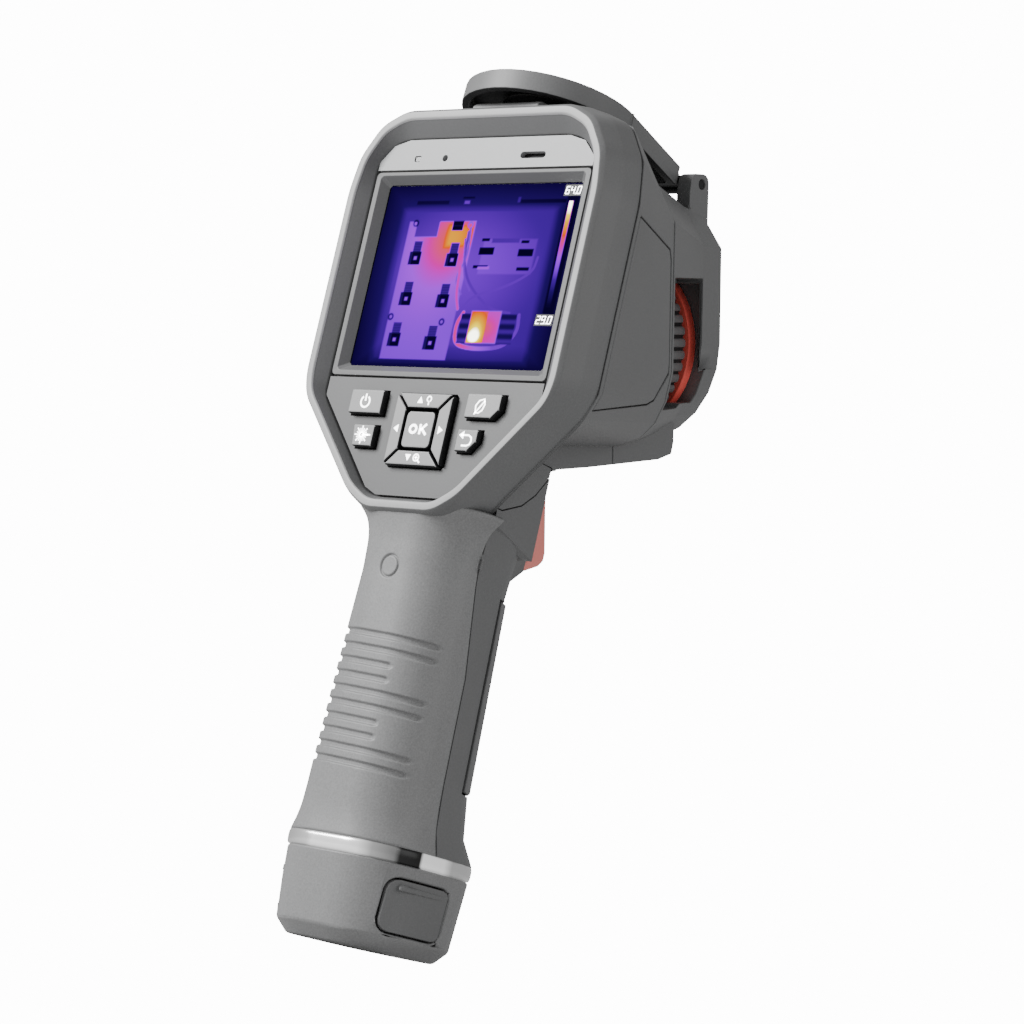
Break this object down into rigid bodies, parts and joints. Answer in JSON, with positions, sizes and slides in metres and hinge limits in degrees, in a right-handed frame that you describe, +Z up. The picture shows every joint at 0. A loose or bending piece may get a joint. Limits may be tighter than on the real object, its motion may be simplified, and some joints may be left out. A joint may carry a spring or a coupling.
{
  "type": "pistol-grip thermal imaging camera",
  "caption": "Hand-held thermal imaging camera with a pistol grip, rear display and keypad, trigger, focus ring, flip-up lens cover and slide-out battery.",
  "frame": {"origin": "centre of the battery base's flat bottom face", "axes": "+Z up the grip, +Y forwards the way the lens looks, +X the user's right"},
  "size_m": [0.0984, 0.0952, 0.2419],
  "materials": {
    "shell": "satin grey moulding",
    "panel": "satin grey panel",
    "trim": "silver paint",
    "key": "satin light grey",
    "coral": "coral red",
    "rubber": "matt",
    "black": "matt black",
    "chrome": "chrome plated",
    "steel": "bare",
    "module": "cast case",
    "brass": "turned",
    "board": "solder mask",
    "cell": "sleeved can",
    "display": "lit colour display",
    "clear": "tinted window",
    "germanium": "coated germanium"
  },
  "bodies": {
    "body": {"rear_shell": "shell", "front_shell": "shell", "grip_front_shell": "shell", "lens_housing": "shell", "side_panel_left": "panel", "side_panel_right": "panel", "top_trim_plate": "trim", "display_frame": "panel", "display_glass": "display", "display_module": "module", "keypad_panel": "panel", "keypad_board": "board", "grip_plug": "panel", "grip_ring": "chrome", "battery_contacts": "brass", "trigger_pin": "steel", "trigger_spring": "steel", "trigger_switch": "black", "usb_socket": "steel", "card_socket": "steel", "detector_module": "module", "visual_camera": "black", "work_lamp": "clear", "laser_module": "brass", "tripod_insert": "brass", "cover_pin": "steel", "rest_pad": "rubber", "main_board": "board", "speaker": "black", "microphone": "black", "light_sensor": "clear"},
    "lens_cover": {"lens_cover": "shell", "cover_seal": "rubber"},
    "focus": {"focus_ring": "panel", "accent_ring": "coral"},
    "lens": {"lens_barrel": "black", "front_lens": "germanium", "rear_lens": "germanium"},
    "shutter": {"shutter_blade": "black"},
    "trigger": {"trigger": "coral"},
    "interface_cover": {"interface_cover": "rubber"},
    "battery": {"battery_base": "shell", "battery_tower": "black", "battery_cell": "cell", "latch_spring_left": "steel", "latch_spring_right": "steel"},
    "latch_left": {"latch_left": "shell"},
    "latch_right": {"latch_right": "shell"},
    "power_key": {"power_key": "key"},
    "laser_key": {"laser_key": "key"},
    "up_key": {"up_key": "key"},
    "down_key": {"down_key": "key"},
    "left_key": {"left_key": "key"},
    "right_key": {"right_key": "key"},
    "ok_key": {"ok_key": "key"},
    "picture_key": {"picture_key": "key"},
    "back_key": {"back_key": "key"}
  },
  "joints": [
    {"name": "lens_cover_hinge", "type": "hinge", "parent": "body", "child": "lens_cover", "pos_m": [0, 0.04749, 0.23271], "axis": [1, 0, 0], "range_deg": [-248, 0]},
    {"name": "focus_turn", "type": "hinge", "parent": "body", "child": "focus", "pos_m": [0, 0.0574, 0.1883], "axis": [0, 0.9511, 0.309], "range_deg": [-60, 60]},
    {"name": "lens_slide", "type": "slide", "parent": "body", "child": "lens", "axis": [0, 0.9511, 0.309], "range_m": [-0.001, 0.001]},
    {"name": "shutter_swing", "type": "hinge", "parent": "body", "child": "shutter", "pos_m": [0.012, 0.02934, 0.16657], "axis": [0, -0.9511, -0.309], "range_deg": [0, 90], "stiffness_Nm_per_rad": 0.05},
    {"name": "trigger_pull", "type": "hinge", "parent": "body", "child": "trigger", "pos_m": [0, 0.0215, 0.1332], "axis": [-1, 0, 0], "range_deg": [0, 8], "stiffness_Nm_per_rad": 0.4},
    {"name": "interface_cover_hinge", "type": "hinge", "parent": "body", "child": "interface_cover", "pos_m": [0, 0.0182, 0.0466], "axis": [-1, 0, 0], "range_deg": [0, 95]},
    {"name": "battery_slide", "type": "slide", "parent": "body", "child": "battery", "axis": [0, 0, -1], "range_m": [0, 0.095]},
    {"name": "latch_left_press", "type": "slide", "parent": "battery", "child": "latch_left", "axis": [1, 0, 0], "range_m": [0, 0.0016], "stiffness_N_per_m": 1500},
    {"name": "latch_right_press", "type": "slide", "parent": "battery", "child": "latch_right", "axis": [-1, 0, 0], "range_m": [0, 0.0016], "stiffness_N_per_m": 1500},
    {"name": "power_press", "type": "slide", "parent": "body", "child": "power_key", "axis": [0, 1, 0], "range_m": [0, 0.0006], "stiffness_N_per_m": 2000},
    {"name": "laser_press", "type": "slide", "parent": "body", "child": "laser_key", "axis": [0, 1, 0], "range_m": [0, 0.0006], "stiffness_N_per_m": 2000},
    {"name": "up_press", "type": "slide", "parent": "body", "child": "up_key", "axis": [0, 1, 0], "range_m": [0, 0.0006], "stiffness_N_per_m": 2000},
    {"name": "down_press", "type": "slide", "parent": "body", "child": "down_key", "axis": [0, 1, 0], "range_m": [0, 0.0006], "stiffness_N_per_m": 2000},
    {"name": "left_press", "type": "slide", "parent": "body", "child": "left_key", "axis": [0, 1, 0], "range_m": [0, 0.0006], "stiffness_N_per_m": 2000},
    {"name": "right_press", "type": "slide", "parent": "body", "child": "right_key", "axis": [0, 1, 0], "range_m": [0, 0.0006], "stiffness_N_per_m": 2000},
    {"name": "ok_press", "type": "slide", "parent": "body", "child": "ok_key", "axis": [0, 1, 0], "range_m": [0, 0.0006], "stiffness_N_per_m": 2000},
    {"name": "picture_press", "type": "slide", "parent": "body", "child": "picture_key", "axis": [0, 1, 0], "range_m": [0, 0.0006], "stiffness_N_per_m": 2000},
    {"name": "back_press", "type": "slide", "parent": "body", "child": "back_key", "axis": [0, 1, 0], "range_m": [0, 0.0006], "stiffness_N_per_m": 2000}
  ],
  "couplings": [
    {"joint": "lens_slide", "follows": "focus_turn", "m_per_rad": 0.00095493}
  ]
}
